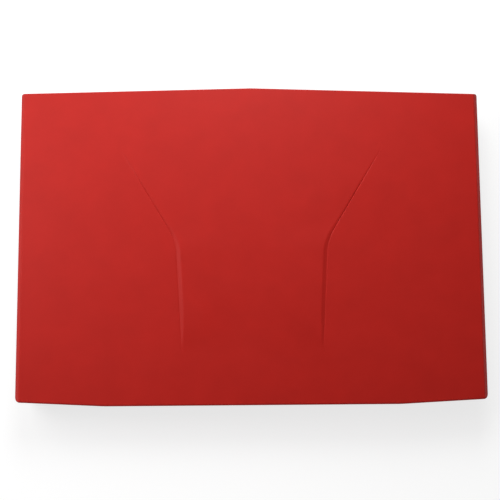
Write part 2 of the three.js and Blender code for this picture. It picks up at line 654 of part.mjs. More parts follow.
// A flattened pipe that carries heat from the processor to both fin stacks.
function heatPipe() {
  const points = PIPE_ROUTE.map(([x, y]) => new THREE.Vector3(x, y, PIPE.z));
  const route = new THREE.CatmullRomCurve3(points, false, "centripetal");
  const corners = [
    [-PIPE.halfHeight, -PIPE.halfWidth],
    [PIPE.halfHeight, -PIPE.halfWidth],
    [PIPE.halfHeight, PIPE.halfWidth],
    [-PIPE.halfHeight, PIPE.halfWidth],
  ];
  const section = new THREE.Shape(corners.map(([x, y]) => new THREE.Vector2(x, y)));
  return solid(new THREE.ExtrudeGeometry(section, { steps: PIPE.steps, extrudePath: route }));
}

function buildInside() {
  add(base, "motherboard", boardGreen, block(...INSIDE.motherboard));
  add(base, "heat_pipe", copper, heatPipe());
  add(base, "memory_module", boardGreen, block(...INSIDE.memory));
  add(base, "wifi_card", boardGreen, block(...INSIDE.wifi));
  add(base, "hard_drive", aluminium, block(...INSIDE.drive));
  add(base, "battery_pack", cell, block(...INSIDE.battery));
  for (const [name, side] of SIDES) {
    add(base, `fan_housing_${name}`, darkPlastic, fanHousing(side));
    add(base, `fan_rotor_${name}`, darkPlastic, fanRotor(side));
    add(base, `fin_stack_${name}`, aluminium, finStack(side));
    const spanX = [side * SPEAKER_X - SPEAKER.halfWidth, side * SPEAKER_X + SPEAKER.halfWidth];
    add(base, `speaker_${name}`, darkPlastic, block(spanX, SPEAKER.y, SPEAKER.z));
  }
}

buildLid();
buildCasings();
buildControls();
buildInside();

export default laptop;
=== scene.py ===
"""The looks of a closed 17-inch laptop with a satin red lid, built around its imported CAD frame.

Everything is in metres in the frame's own axes: +X the user's right, -Y the user's side, +Z up.
"""

import json
import math

import bmesh
import bpy
from mathutils import Matrix, Vector


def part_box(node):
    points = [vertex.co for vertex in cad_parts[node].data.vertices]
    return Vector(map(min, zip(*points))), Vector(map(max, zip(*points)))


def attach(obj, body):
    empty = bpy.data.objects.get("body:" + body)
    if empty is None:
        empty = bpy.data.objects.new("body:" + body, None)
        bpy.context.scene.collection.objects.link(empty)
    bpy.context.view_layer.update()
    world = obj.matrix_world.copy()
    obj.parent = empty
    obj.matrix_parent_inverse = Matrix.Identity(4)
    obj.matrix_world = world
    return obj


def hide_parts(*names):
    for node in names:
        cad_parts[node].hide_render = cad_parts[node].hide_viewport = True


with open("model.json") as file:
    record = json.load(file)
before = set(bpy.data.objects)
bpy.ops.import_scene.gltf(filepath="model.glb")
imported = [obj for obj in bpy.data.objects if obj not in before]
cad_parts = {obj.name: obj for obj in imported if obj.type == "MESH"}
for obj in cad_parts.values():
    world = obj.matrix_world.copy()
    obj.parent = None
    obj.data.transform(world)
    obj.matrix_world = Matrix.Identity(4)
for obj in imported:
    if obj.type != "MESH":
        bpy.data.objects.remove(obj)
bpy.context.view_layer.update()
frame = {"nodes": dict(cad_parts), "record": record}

MM = 0.001

# ---- Sizes, from the frame where it holds them ----

# Lid: outline, walls and bevels
LID_LOW, LID_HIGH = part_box("lid_cover")
HALF_WIDTH = LID_HIGH.x
HALF_DEPTH = LID_HIGH.y
LID_FACE = LID_LOW.z  # the lid's underside, which closes on the deck
CHEVRON = 5.3 * MM  # how far the middle of the front edge stands ahead of its corners
REAR_SETBACK = 3.9 * MM
REAR_FLAT = 128 * MM
REAR_CORNER_RADIUS = 4.4 * MM
FRONT_CORNER_RADIUS = 1.5 * MM
LID_FIELD = LID_HIGH.z - 1.2 * MM  # the lid's flat field; the frame's hood stands 1.2 mm above it
SKIN_UNDER = LID_FIELD - 1.5 * MM
SIDE_BEVEL = 3.5 * MM
BEVEL_SOFTENING = 0.8 * MM  # width over which the side bevel's upper corner is eased
REAR_BEVEL = 1.5 * MM
FRONT_BEVEL = 0.8 * MM
LID_WALL = 2 * MM
LID_HEM = 0.35 * MM  # broken edge along the foot of the lid's walls
HINGE_NOTCH = (138 * MM, 172 * MM)  # cut in the rear wall, from and to, out from the middle
NOTCH_REACH = 8 * MM

# Lid: the hood's edge from the front, as start, bend and end (x, y), and its step
HOOD_START = (120 * MM, -94 * MM)
HOOD_BEND = (67 * MM, -4 * MM)
HOOD_END = (61.6 * MM, 96 * MM)
BEND_ROUNDING = 9 * MM  # the edge turns through its bend over this length on each side
FRONT_RAMP = (50 * MM, 95 * MM)  # length of the hood's rise behind its start, at its edge and middle
REAR_RAMP = (20 * MM, 60 * MM)
RAMP_REACH = (60 * MM, 50 * MM)  # how far in from the edge the front and rear ramps take to lengthen
FLANK_WIDTH = (2.1 * MM, 4.2 * MM)  # width of the sloping step where it is narrow and where it is wide
FLANK_START = -40 * MM  # where the step begins to widen, and over what lengths it widens and narrows
FLANK_WIDENING = 50 * MM
FLANK_NARROWING = 45 * MM
SLANT_LEAD = 10 * MM  # the slanting run's looks begin to give way this far behind the bend
SLANT_BLEND = 30 * MM
HOOD_SLOPE = 0.25  # mean slope of the step on its straight run
HOOD_SLOPE_SLANTING = 0.1
CREASE_DEPTH = 0.16 * MM  # the pressing leaves a fine line along the foot of the step
CREASE_DEPTH_SLANTING = 0.41 * MM
CREASE_HALF_WIDTH = 0.7 * MM
LEVELLING = 45 * MM  # the hood's middle evens its height out over this length each way
LEVELLING_STEPS = 3
HOOD_CROWN = 60 * MM  # distance in from the step over which that evening takes hold

# Keyboard
KEY_LOW, KEY_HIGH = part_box("number_keys")
KEY_PITCH = 19.05 * MM
CAP_GAP = 2.6 * MM  # between two solids of the frame's keys
CAP_SPREAD = 0.35 * MM  # the real caps' skirts stand this far outside those solids
KEYS_LEFT = KEY_LOW.x - CAP_GAP / 2
KEYS_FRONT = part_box("space_bar")[0].y - CAP_GAP / 2
CAP_TOP = KEY_HIGH.z
CAP_CORNER = 1.1 * MM  # corner radius at the skirt; it shrinks towards the dish
CAP_CORNER_LEAST = 0.5 * MM
MAIN_BLOCK = 15  # in key pitches, as are the next three
BLOCK_GAP = 0.25
PAD_LEFT = MAIN_BLOCK + BLOCK_GAP
TOP_ROW_DEPTH = 0.75
KEYS_REAR = KEYS_FRONT + (5 + TOP_ROW_DEPTH) * KEY_PITCH
LEGEND_RAISE = 0.04 * MM
LEGEND_HALF = 0.02 * MM  # half the thickness of the printed legend
LEGEND_SIZE = (4.3 * MM, 3.1 * MM)  # of a single letter, and of a word
LEGEND_LEFT = 2.7 * MM  # margins of the legend inside the cap's skirt
LEGEND_REAR = 2.6 * MM
LEGEND_MARGINS = 4.6 * MM  # left and right together
ARROW_RADIUS = 1.7 * MM
LATTICE_TOP = 25.6 * MM
LATTICE_UNDER = 24.6 * MM
LATTICE_CLEARANCE = 0.3 * MM
LATTICE_HEM = 3.2 * MM  # a hem under the deck's edge closes the well

# Deck trim
DECK_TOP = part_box("palm_rest")[1].z
POWER_LOW, POWER_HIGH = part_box("power_button")
POWER_Y = (POWER_LOW.y + POWER_HIGH.y) / 2
POWER_RADIUS = (POWER_HIGH.x - POWER_LOW.x) / 2
TRIM_WIDTH = 1.9 * MM
TRIM_LIFT = 0.18 * MM
TRIM_ROOT = 0.6 * MM  # how deep the trim goes into the deck
TRIM_CORNER = 3 * MM
PAD_CLEARANCE = 0.6 * MM
WELL_CLEARANCE = 1.7 * MM
LAMP = (3.2 * MM, 1.2 * MM)  # a status light's width and depth
LAMP_START = 24 * MM
LAMP_PITCH = 7 * MM

# Webcam and screen trim
MICROPHONE_X = 24 * MM
CAMERA_LAMP = (9 * MM, 11 * MM)  # left and right ends of the small light
SCREEN_LIP = 2.4 * MM
SCREEN_LIP_INSET = 1.7 * MM

# Sockets
SOCKET_DEPTH = 13 * MM  # from a socket's face to its back
SOCKET_FLOOR = 12 * MM  # depth of a mouth
CONTACT_END = 11 * MM
MOUTH_X = abs(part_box("usb_port_left")[0].x)  # the sockets' faces
MOUTH_FLARE = 0.35 * MM

# Hinges
FOOT_THICKNESS = 0.9 * MM
KNUCKLE_RADIUS = 3.4 * MM
PIN_HOLE = 1.55 * MM

# Underside
CASE_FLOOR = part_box("bottom_case")[0].z
COVER_SCREW = 2.6 * MM
CASE_SCREW = 2.9 * MM
COVER_SCREW_INSET = 7 * MM
CASE_SCREWS_X = (-172 * MM, -60 * MM, 60 * MM, 172 * MM)
CASE_SCREWS_Y = (-102 * MM, 116 * MM)

# Stage
FLOOR_HALF = 40.0
FLOOR_COLOUR = (0.35, 0.35, 0.35, 1)
FLOOR_GLOW = 0.74  # the floor glows as well, like a light table
HORIZON_GLOW = 0.6  # the studio's pale walls; its ceiling is nearly dark
CEILING_GLOW = 0.05
LEFT_SHARE = 0.55  # of that glow on the user's left, where the walls are darker
GLOW_FADE = (0.3, 0.8)  # sines of the elevations between which the walls fade into the ceiling

# Each soft light's position, diameter and watts: a key from the user's side, a weak one from the right
LIGHTS = {
    "key": ((0, -0.530, 0.530), 0.5, 4.4),
    "side": ((0.498, -0.181, 0.530), 0.5, 2.65),
}

# Camera
CAMERA_DISTANCE = 0.9
CAMERA_TILT = 7.76  # degrees from straight down, towards the hinge side
CAMERA_TURN = 11.7  # degrees of that tilt's direction towards +X
CAMERA_ROLL = -0.44
CAMERA_LENS = 73.656  # mm, on a sensor 36 mm wide
SENSOR_WIDTH = 36
AIM_OFFSET = (0.0017, 0.0059)  # the picture's middle on the lid


# ---- Small tools ----


def ease(t):
    """0 to 1 with level ends."""
    t = min(max(t, 0.0), 1.0)
    return t * t * (3 - 2 * t)


def mix(a, b, t):
    return a + (b - a) * t


def spread(a, b, count):
    """count values from a up to, but not including, b."""
    return [mix(a, b, i / count) for i in range(count)]


def finish_mesh(name, bm, angle=35):
    """A bmesh as a smooth-shaded object whose corners sharper than the angle stay sharp."""
    bmesh.ops.recalc_face_normals(bm, faces=bm.faces)
    mesh = bpy.data.meshes.new(name)
    bm.to_mesh(mesh)
    bm.free()
    mesh.shade_smooth()
    mesh.set_sharp_from_angle(angle=math.radians(angle))
    piece = bpy.data.objects.new(name, mesh)
    bpy.context.scene.collection.objects.link(piece)
    return piece


def place(piece, body, material, slot, *replaced):
    """Dresses a piece, rides it on a body and hides the CAD nodes it stands for."""
    piece.data.materials.clear()
    piece.data.materials.append(material)
    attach(piece, body)
    if replaced:
        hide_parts(*replaced)
    return piece


# ---- Materials ----


NOISE_SPAN = (0.3, 0.7)  # noise seldom leaves this span


class Graph:
    """A material's node tree, with short calls for the nodes used here."""

    def __init__(self, name):
        self.material = bpy.data.materials.new(name)
        self.material.use_nodes = True
        self.tree = self.material.node_tree
        self.shader = self.tree.nodes["Principled BSDF"]
        self.place = self.add("ShaderNodeTexCoord").outputs["Object"]

    def add(self, kind, **settings):
        node = self.tree.nodes.new(kind)
        for key, value in settings.items():
            setattr(node, key, value)
        return node

    def link(self, source, target):
        self.tree.links.new(source, target)

    def noise(self, scale, detail=2.0, roughness=0.5, stretch=None):
        """Noise with the given number of features per metre, stretched along the axes if asked."""
        node = self.add("ShaderNodeTexNoise")
        node.inputs["Scale"].default_value = scale
        node.inputs["Detail"].default_value = detail
        node.inputs["Roughness"].default_value = roughness
        source = self.place
        if stretch:
            mapping = self.add("ShaderNodeMapping")
            mapping.inputs["Scale"].default_value = stretch
            self.link(source, mapping.inputs["Vector"])
            source = mapping.outputs["Vector"]
        self.link(source, node.inputs["Vector"])
        return node.outputs["Fac"]

    def ramp(self, source, low, high):
        """Maps noise to a run between two colours or two numbers."""
        start, end = NOISE_SPAN
        if isinstance(low, (int, float)):
            node = self.add("ShaderNodeMapRange")
            node.inputs["From Min"].default_value = start
            node.inputs["From Max"].default_value = end
            node.inputs["To Min"].default_value = low
            node.inputs["To Max"].default_value = high
            self.link(source, node.inputs["Value"])
            return node.outputs["Result"]
        node = self.add("ShaderNodeValToRGB")
        node.color_ramp.elements[0].position = start
        node.color_ramp.elements[0].color = (*low, 1)
        node.color_ramp.elements[1].position = end
        node.color_ramp.elements[1].color = (*high, 1)
        self.link(source, node.inputs["Fac"])
        return node.outputs["Color"]

    def bump(self, source, depth, normal=None):
        """Relief of the given depth in metres."""
        node = self.add("ShaderNodeBump")
        node.inputs["Strength"].default_value = 1.0
        node.inputs["Distance"].default_value = depth
        self.link(source, node.inputs["Height"])
        if normal:
            self.link(normal, node.inputs["Normal"])
        return node.outputs["Normal"]

    def inside(self, height):
        """One on surfaces above a height that face down, and nought elsewhere."""
        coordinates = self.add("ShaderNodeTexCoord")
        masks = []
        for output, operation, limit in (("Object", "GREATER_THAN", height), ("Normal", "LESS_THAN", -0.3)):
            split = self.add("ShaderNodeSeparateXYZ")
            self.link(coordinates.outputs[output], split.inputs["Vector"])
            test = self.add("ShaderNodeMath", operation=operation)
            test.inputs[1].default_value = limit
            self.link(split.outputs["Z"], test.inputs[0])
            masks.append(test.outputs["Value"])
        both = self.add("ShaderNodeMath", operation="MULTIPLY")
        self.link(masks[0], both.inputs[0])
        self.link(masks[1], both.inputs[1])
        return both.outputs["Value"]

    def set(self, **values):
        for key, value in values.items():
            self.shader.inputs[key.replace("_", " ")].default_value = value


def scaled(colour, factor):
    return tuple(channel * factor for channel in colour)


def surface(name, colour, roughness, metallic=0.0, grain=2500, depth=6e-6, variation=0.12, stretch=None):
    """A moulded, cast or rolled surface: fine relief, and slow changes of colour and gloss."""
    graph = Graph(name)
    slow = graph.noise(28, detail=4)
    colours = graph.ramp(slow, scaled(colour, 1 - variation), scaled(colour, 1 + variation))
    graph.link(colours, graph.shader.inputs["Base Color"])
    patches = graph.noise(60, detail=3)
    graph.link(graph.ramp(patches, roughness * 0.92, roughness * 1.08), graph.shader.inputs["Roughness"])
    relief = graph.noise(grain, detail=3, roughness=0.6, stretch=stretch)
    graph.link(graph.bump(relief, depth), graph.shader.inputs["Normal"])
    graph.set(Metallic=metallic, Specular_IOR_Level=0.5)
    return graph.material


LACQUER_RED = (0.452, 0.0162, 0.0117)
PRIMER_BLACK = (0.015, 0.015, 0.016)


def lid_lacquer():
    """Satin red coat over metal, sprayed on the outside only: faint orange peel and a soft, broad sheen."""
    graph = Graph("lid_lacquer")
    slow = graph.noise(45, detail=6, roughness=0.6)
    colours = graph.ramp(slow, scaled(LACQUER_RED, 0.96), scaled(LACQUER_RED, 1.04))
    blend = graph.add("ShaderNodeMix", data_type="RGBA")
    blend.inputs["B"].default_value = (*PRIMER_BLACK, 1)
    graph.link(colours, blend.inputs["A"])
    graph.link(graph.inside(LID_FACE + 1.2 * MM), blend.inputs["Factor"])
    graph.link(blend.outputs["Result"], graph.shader.inputs["Base Color"])
    patches = graph.noise(35, detail=4)
    graph.link(graph.ramp(patches, 0.43, 0.47), graph.shader.inputs["Roughness"])
    peel = graph.noise(900, detail=1)
    fine = graph.noise(5200, detail=1)
    normal = graph.bump(peel, 4e-6)
    graph.link(graph.bump(fine, 1.5e-6, normal), graph.shader.inputs["Normal"])
    graph.set(Metallic=0.0, Specular_IOR_Level=0.12)
    return graph.material


LACQUER = lid_lacquer()
BEZEL = surface("bezel_plastic", (0.012, 0.012, 0.013), 0.5, grain=3200, depth=1.2e-5)
CASE = surface("case_plastic", (0.017, 0.017, 0.019), 0.58, grain=2600, depth=1.6e-5)
DECK = surface("deck_plastic", (0.02, 0.02, 0.022), 0.5, grain=4000, depth=6e-6, variation=0.08)
RUBBER = surface("rubber", (0.014, 0.014, 0.015), 0.85, grain=1800, depth=1.5e-5)
STEEL = surface(
    "hinge_steel", (0.13, 0.13, 0.137), 0.38, metallic=1.0, grain=900, depth=4e-6, stretch=(1, 12, 12)
)
SOCKET = surface("socket_steel", (0.48, 0.48, 0.49), 0.28, metallic=1.0, grain=1500, depth=3e-6)
ALUMINIUM = surface("plate_aluminium", (0.42, 0.42, 0.44), 0.38, metallic=1.0, grain=1200, depth=4e-6)
GRILLE = surface("grille_steel", (0.02, 0.02, 0.022), 0.42, metallic=0.4, grain=3000, depth=6e-6)
KEY = surface("key_plastic", (0.011, 0.011, 0.012), 0.52, grain=3600, depth=9e-6)
BUTTON = surface("button_metal", (0.36, 0.36, 0.38), 0.33, metallic=1.0, grain=1600, depth=4e-6)
GLASS = surface("screen_glass", (0.004, 0.004, 0.005), 0.16, grain=400, depth=4e-7, variation=0.05)
PANEL = surface("panel_metal", (0.4, 0.41, 0.42), 0.4, metallic=1.0, grain=1300, depth=5e-6)
BOARD = surface("circuit_board", (0.01, 0.085, 0.03), 0.4, grain=700, depth=2e-5)
INNER = surface("inner_plastic", (0.014, 0.014, 0.015), 0.6, grain=2200, depth=1e-5)
LEGEND = surface("legend_print", (0.62, 0.63, 0.62), 0.5, grain=5000, depth=2e-6, variation=0.04)
LENS = surface("lamp_lens", (0.3, 0.34, 0.36), 0.2, grain=900, depth=1e-6, variation=0.05)
WRAP = surface("battery_wrap", (0.03, 0.032, 0.036), 0.55, grain=1400, depth=1.2e-5)
COPPER = surface("copper", (0.72, 0.3, 0.15), 0.3, metallic=1.0, grain=1400, depth=5e-6)

FINISHES = {
    "lid_lacquer": LACQUER,
    "bezel_plastic": BEZEL,
    "case_plastic": CASE,
    "deck_plastic": DECK,
    "rubber": RUBBER,
    "hinge_steel": STEEL,
    "socket_steel": SOCKET,
    "plate_aluminium": ALUMINIUM,
    "grille_steel": GRILLE,
    "key_plastic": KEY,
    "button_metal": BUTTON,
    "screen_glass": GLASS,
    "panel_metal": PANEL,
    "circuit_board": BOARD,
    "inner_plastic": INNER,
    "battery_wrap": WRAP,
    "copper": COPPER,
}


# Width in mm of the broken edge: the usual one, and others by node
USUAL_EDGE = 0.15
EDGE_BREAK = {"palm_rest": 0.4, "bottom_case": 0.5, "touchpad": 0.3, "power_button": 0.4}
for side in ("left", "right"):
    for node in ("touchpad_button", "foot_front", "foot_rear"):
        EDGE_BREAK[f"{node}_{side}"] = 0.5


def dress_frame():
    """Every CAD node takes its slot's material, and its edges are broken by a fine bevel."""
    for part in frame["record"]["subparts"]:
        node = frame["nodes"][part["node"]]
        node.data.materials.clear()
        node.data.materials.append(FINISHES[part["material_slot"]])
        weld = node.modifiers.new("weld", "WELD")
        weld.merge_threshold = 1e-6
        bevel = node.modifiers.new("edge", "BEVEL")
        bevel.width = EDGE_BREAK.get(part["node"], USUAL_EDGE) * MM
        bevel.segments = 2
        bevel.limit_method = "ANGLE"
        bevel.angle_limit = math.radians(32)
        bevel.harden_normals = False


# ---- Lid ----


def quarter_drop(inside, radius):
    """Drop of a quarter-round edge at a distance in from the outline."""
    if inside >= radius:
        return 0.0
    return radius - math.sqrt(max(radius * radius - (radius - inside) ** 2, 0))


def front_edge(x):
    """The front edge's y at a distance x from the middle: a shallow gable with rounded corners."""
    gable = -HALF_DEPTH + CHEVRON * abs(x) / HALF_WIDTH
    return gable + quarter_drop(HALF_WIDTH - abs(x), FRONT_CORNER_RADIUS)


def rear_edge(x):
    """The rear edge's y: straight, then set back towards two rounded corners."""
    reach = max(abs(x) - REAR_FLAT, 0) / (HALF_WIDTH - REAR_FLAT)
    return HALF_DEPTH - REAR_SETBACK * reach - quarter_drop(HALF_WIDTH - abs(x), REAR_CORNER_RADIUS)


def hood_edge(y):
    """Distance of the hood's edge from the middle at a given y."""
    if y < HOOD_BEND[1]:
        t = (max(y, HOOD_START[1]) - HOOD_START[1]) / (HOOD_BEND[1] - HOOD_START[1])
        return mix(HOOD_START[0], HOOD_BEND[0], t)
    t = (min(y, HOOD_END[1]) - HOOD_BEND[1]) / (HOOD_END[1] - HOOD_BEND[1])
    return mix(HOOD_BEND[0], HOOD_END[0], t)


def hood_edge_smooth(y):
    samples = [hood_edge(y + BEND_ROUNDING * s) for s in (-1, -0.5, 0, 0.5, 1)]
    return sum(samples) / len(samples)


def hood_rise(y, across):
    """Share of the hood's full height: quick along its edge, and too slow to see across its middle."""
    front = ease((y - HOOD_START[1]) / mix(*FRONT_RAMP, ease(across / RAMP_REACH[0])))
    rear = ease((HOOD_END[1] - y) / mix(*REAR_RAMP, ease(across / RAMP_REACH[1])))
    return front * rear


def flank_width(y):
    """The sloping step is narrow on the slanting run and widest behind the bend."""
    widening = ease((y - FLANK_START) / FLANK_WIDENING)
    narrowing = ease((HOOD_END[1] - y) / FLANK_NARROWING)
    return mix(*FLANK_WIDTH, widening * narrowing)


def slanting(y):
    """One on the slanting run of the hood's edge and nought on the straight one."""
    return ease((HOOD_BEND[1] + SLANT_LEAD - y) / SLANT_BLEND)


def step_height(y):
    return mix(HOOD_SLOPE, HOOD_SLOPE_SLANTING, slanting(y)) * flank_width(y)


def hood_height(y, across):
    """Height of the hood above the field: a step at its edge, evened out towards its middle."""
    width = flank_width(y)
    places = [y + LEVELLING * i / LEVELLING_STEPS for i in range(-LEVELLING_STEPS, LEVELLING_STEPS + 1)]
    even = sum(step_height(place) for place in places) / len(places)
    inward = ease((across - width) / HOOD_CROWN)
    return mix(step_height(y), even, inward) * ease(across / width)


def lid_columns(y):
    """Distances of the lid's columns of vertices from its middle, close together over the hood's edge."""
    edge = hood_edge_smooth(y)
    width = flank_width(y)
    inner = edge - width - 0.9 * MM
    outer = edge + 1.1 * MM
    margin = 6 * MM
    steps = [6, 5, 4.3, 3.9, 3.5, 3.1, 2.6, 1.9, 1.2, 0.6, 0.2, 0]
    columns = spread(0, inner, 14) + spread(inner, outer, 20)
    columns += spread(outer, HALF_WIDTH - margin, 30)
    return columns + [HALF_WIDTH - step * MM for step in steps]


def lid_rows():
    """Shares of the way from the front edge to the rear edge."""
    near = [0, 0.12, 0.3, 0.5, 0.8, 1.3, 2.2]
    far = [2.4, 1.8, 1.4, 1.1, 0.8, 0.5, 0.25, 0.1, 0]
    depth = 2 * HALF_DEPTH / MM
    rows = [step / depth for step in near]
    rows += spread(3.2 / depth, 1 - 2.6 / depth, 118)
    return rows + [1 - step / depth for step in far]


def bevel_drop(inside):
    """Drop of the side bevel, with its upper corner eased."""
    over = SIDE_BEVEL + BEVEL_SOFTENING / 2 - inside
    if over <= 0:
        return 0.0
    if over < BEVEL_SOFTENING:
        return over * over / (2 * BEVEL_SOFTENING)
    return over - BEVEL_SOFTENING / 2


def lid_height(x, y, nominal_y):
    """Height of the lid's outer surface."""
    inside = HALF_WIDTH - abs(x)
    drop = max(
        bevel_drop(inside),
        quarter_drop(y - front_edge(x), FRONT_BEVEL),
        quarter_drop(rear_edge(x) - y, REAR_BEVEL),
    )
    across = hood_edge_smooth(nominal_y) - abs(x)
    depth = mix(CREASE_DEPTH, CREASE_DEPTH_SLANTING, slanting(nominal_y))
    crease = depth * ease(1 - abs(across) / CREASE_HALF_WIDTH)
    return LID_FIELD - drop + hood_rise(nominal_y, across) * (hood_height(nominal_y, across) - crease)


def shrink(x, y, side, end):
    """A point of the outline drawn in by one inset at the sides and another at the ends."""
    return x * (HALF_WIDTH - side) / HALF_WIDTH, y * (HALF_DEPTH - end) / HALF_DEPTH


def lid_grid(bm):
    """The lid's outer surface, as rows of vertices from the front to the rear."""
    grid = []
    for share in lid_rows():
        nominal_y = mix(-HALF_DEPTH, HALF_DEPTH, share)
        half = lid_columns(nominal_y)
        row = []
        for x in [-x for x in reversed(half[1:])] + half:
            y = mix(front_edge(x), rear_edge(x), share)
            row.append(bm.verts.new((x, y, lid_height(x, y, nominal_y))))
        grid.append(row)
    for low, high in zip(grid, grid[1:]):
        for i in range(len(low) - 1):
            bm.faces.new((low[i], low[i + 1], high[i + 1], high[i]))
    return grid


def in_notch(vertex):
    """Whether a vertex of the rim lies over a hinge notch."""
    x, y, _ = vertex.co
    return y > HALF_DEPTH - NOTCH_REACH and HINGE_NOTCH[0] < abs(x) < HINGE_NOTCH[1]


def lid_walls(bm, rings):
    """Faces down through the rings, from the rim to the inside; over a notch the wall is left out."""
    rim = rings[0]
    count = len(rim)
    open_wall = [in_notch(rim[i]) and in_notch(rim[(i + 1) % count]) for i in range(count)]
    for i in range(count):
        j = (i + 1) % count
        if open_wall[i]:
            bm.faces.new((rim[i], rings[-1][i], rings[-1][j], rim[j]))
        else:
            for upper, lower in zip(rings, rings[1:]):
                bm.faces.new((upper[i], lower[i], lower[j], upper[j]))
        if open_wall[i] != open_wall[i - 1]:
            bm.faces.new([level[i] for level in rings])


def lid_shell():
    """The pressed lid: its outer surface, turned-down walls with notches at the hinges, and its inside."""
    bm = bmesh.new()
    grid = lid_grid(bm)
    rim = grid[0][:-1] + [row[-1] for row in grid[:-1]] + grid[-1][:0:-1] + [row[0] for row in grid[:0:-1]]

    def ring(z, side, end):
        return [bm.verts.new((*shrink(v.co.x, v.co.y, side, end), z)) for v in rim]

    rings = [
        rim,
        ring(LID_FACE + LID_HEM, 0, 0),
        ring(LID_FACE, LID_HEM, LID_HEM),
        ring(LID_FACE, LID_WALL, LID_WALL),
        ring(SKIN_UNDER - 3 * MM, LID_WALL, LID_WALL),
        ring(SKIN_UNDER, SIDE_BEVEL + 1 * MM, LID_WALL + 0.5 * MM),
    ]
    lid_walls(bm, rings)
    bm.faces.new(rings[-1])
    loose = [v for v in bm.verts if not v.link_faces]
    bmesh.ops.delete(bm, geom=loose, context="VERTS")
    return finish_mesh("lid_shell", bm, angle=40)


# ---- Shapes shared by the small parts ----


def round_rect(x0, y0, x1, y1, radius, steps=3):
    """Points anticlockwise around a rectangle with rounded corners."""
    points = []
    corners = [(x1 - radius, y0 + radius, -90), (x1 - radius, y1 - radius, 0)]
    corners += [(x0 + radius, y1 - radius, 90), (x0 + radius, y0 + radius, 180)]
    for x, y, start in corners:
        for i in range(steps + 1):
            angle = math.radians(start + 90 * i / steps)
            points.append((x + radius * math.cos(angle), y + radius * math.sin(angle)))
    return points


def loft(bm, rings):
    """A closed solid through rings of equally many points, with a face on the first and last ring."""
    levels = [[bm.verts.new(point) for point in ring] for ring in rings]
    count = len(levels[0])
    for low, high in zip(levels, levels[1:]):
        for i in range(count):
            j = (i + 1) % count
            bm.faces.new((low[i], low[j], high[j], high[i]))
    bm.faces.new(list(reversed(levels[0])))
    bm.faces.new(levels[-1])


def tube(bm, rings):
    """A closed solid ring: like loft, but the last ring joins the first."""
    levels = [[bm.verts.new(point) for point in ring] for ring in rings]
    count = len(levels[0])
    for low, high in zip(levels, levels[1:] + levels[:1]):
        for i in range(count):
            j = (i + 1) % count
            bm.faces.new((low[i], low[j], high[j], high[i]))


def slab(bm, x0, y0, x1, y1, z0, z1, radius, edge):
    """A round-cornered slab whose top and bottom edges are broken."""
    steps = [(edge, z0), (0, z0 + edge), (0, z1 - edge), (edge * 0.3, z1 - edge * 0.3), (edge, z1)]
    rings = []
    for inset, z in steps:
        outline = round_rect(x0 + inset, y0 + inset, x1 - inset, y1 - inset, max(radius - inset, edge / 4))
        rings.append([(x, y, z) for x, y in outline])
    loft(bm, rings)


def frame_ring(bm, outer, width, z0, z1, radius):
    """A flat rounded frame around a rectangle, outer = (x0, y0, x1, y1)."""
    x0, y0, x1, y1 = outer
    soft = width / 4

    def at(inset, z):
        points = round_rect(x0 + inset, y0 + inset, x1 - inset, y1 - inset, max(radius - inset, 0.1 * MM))
        return [(x, y, z) for x, y in points]

    outside = [at(0, z0), at(0, z1 - soft), at(soft, z1)]
    inside = [at(width - soft, z1), at(width, z1 - soft), at(width, z0)]
    tube(bm, outside + inside)


def turned(centre, profile, axis="z", sides=40):
    """Rings around an axis through centre; the profile holds (radius, place along the axis)."""
    rings = []
    for radius, along in profile:
        ring = []
        for i in range(sides):
            angle = 2 * math.pi * i / sides
            a = radius * math.cos(angle)
            b = radius * math.sin(angle)
            point = (a, b, along) if axis == "z" else (along, a, b)
            ring.append(tuple(centre[k] + point[k] for k in range(3)))
        rings.append(ring)
    return rings


# ---- Keyboard ----


def row_of(x, y, labels, widths=None, depth=1.0):
    """Caps side by side: (x, y, width, depth, label) in key pitches from the front left corner."""
    widths = widths or [1.0] * len(labels)
    caps = []
    for label, width in zip(labels, widths):
        caps.append((x, y, width, depth, label))
        x += width
    return caps


def pad_row(y, labels, depth=1.0):
    return row_of(PAD_LEFT, y, labels, None, depth)


